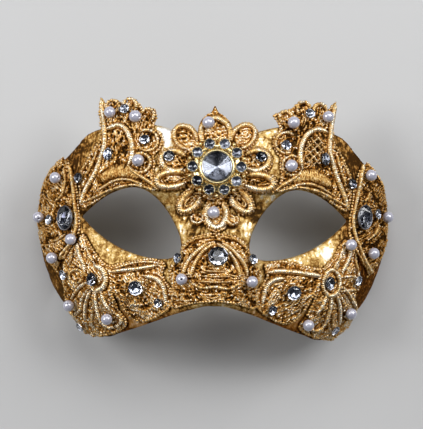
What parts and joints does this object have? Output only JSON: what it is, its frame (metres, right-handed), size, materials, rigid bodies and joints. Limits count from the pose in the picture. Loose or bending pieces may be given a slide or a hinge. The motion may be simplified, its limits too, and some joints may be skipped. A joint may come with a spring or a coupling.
{
  "type": "half mask",
  "caption": "Gold leaf half mask for the eyes, dressed with gilded corded lace, pearls, cut crystals and a round brooch on the forehead.",
  "frame": {"origin": "on the table under the middle of the mask, which lies face up on its back rim", "axes": "+X across the face to the picture's right, +Y up the face to the forehead, +Z out of the face"},
  "size_m": [0.1804, 0.119, 0.0742],
  "materials": {
    "leaf_shell": "papier mache under rubbed gold leaf with brown patina",
    "gilt_lace": "corded lace stiffened and gilded, pale on the cords and brown in the net",
    "pearl": "pearl lacquer",
    "cut_crystal": "faceted, foiled behind",
    "gilt_setting": "polished"
  },
  "bodies": {
    "root": {"shell": "leaf_shell", "lace_flower": "gilt_lace", "lace_brow_left": "gilt_lace", "lace_brow_right": "gilt_lace", "lace_temple_left": "gilt_lace", "lace_temple_right": "gilt_lace", "lace_cheek_left": "gilt_lace", "lace_cheek_right": "gilt_lace", "lace_nose": "gilt_lace", "brooch": "gilt_setting", "brooch_stone": "cut_crystal", "pearl_horn_outer_left": "pearl", "pearl_horn_outer_right": "pearl", "pearl_horn_inner_left": "pearl", "pearl_horn_inner_right": "pearl", "pearl_brow_left": "pearl", "pearl_brow_right": "pearl", "pearl_temple_top_left": "pearl", "pearl_temple_top_right": "pearl", "pearl_edge_left": "pearl", "pearl_edge_right": "pearl", "pearl_eye_corner_left": "pearl", "pearl_eye_corner_right": "pearl", "pearl_temple_low_left": "pearl", "pearl_temple_low_right": "pearl", "pearl_cheek_side_left": "pearl", "pearl_cheek_side_right": "pearl", "pearl_cheek_low_left": "pearl", "pearl_cheek_low_right": "pearl", "pearl_nose_left": "pearl", "pearl_nose_right": "pearl", "pearl_flower_top": "pearl", "pearl_flower_bottom": "pearl", "crystal_horn_left": "cut_crystal", "crystal_horn_right": "cut_crystal", "crystal_brow_round_left": "cut_crystal", "crystal_brow_round_right": "cut_crystal", "crystal_brow_oval_left": "cut_crystal", "crystal_brow_oval_right": "cut_crystal", "crystal_temple_top_left": "cut_crystal", "crystal_temple_top_right": "cut_crystal", "crystal_temple_small_left": "cut_crystal", "crystal_temple_small_right": "cut_crystal", "crystal_temple_big_left": "cut_crystal", "crystal_temple_big_right": "cut_crystal", "crystal_cheek_side_left": "cut_crystal", "crystal_cheek_side_right": "cut_crystal", "crystal_fan_left": "cut_crystal", "crystal_fan_right": "cut_crystal", "crystal_leaf_left": "cut_crystal", "crystal_leaf_right": "cut_crystal", "crystal_leaf_small_left": "cut_crystal", "crystal_leaf_small_right": "cut_crystal", "crystal_cheek_low_left": "cut_crystal", "crystal_cheek_low_right": "cut_crystal", "crystal_petal_left": "cut_crystal", "crystal_petal_right": "cut_crystal", "crystal_nose_side_left": "cut_crystal", "crystal_nose_side_right": "cut_crystal", "crystal_nose": "cut_crystal"}
  },
  "joints": []
}
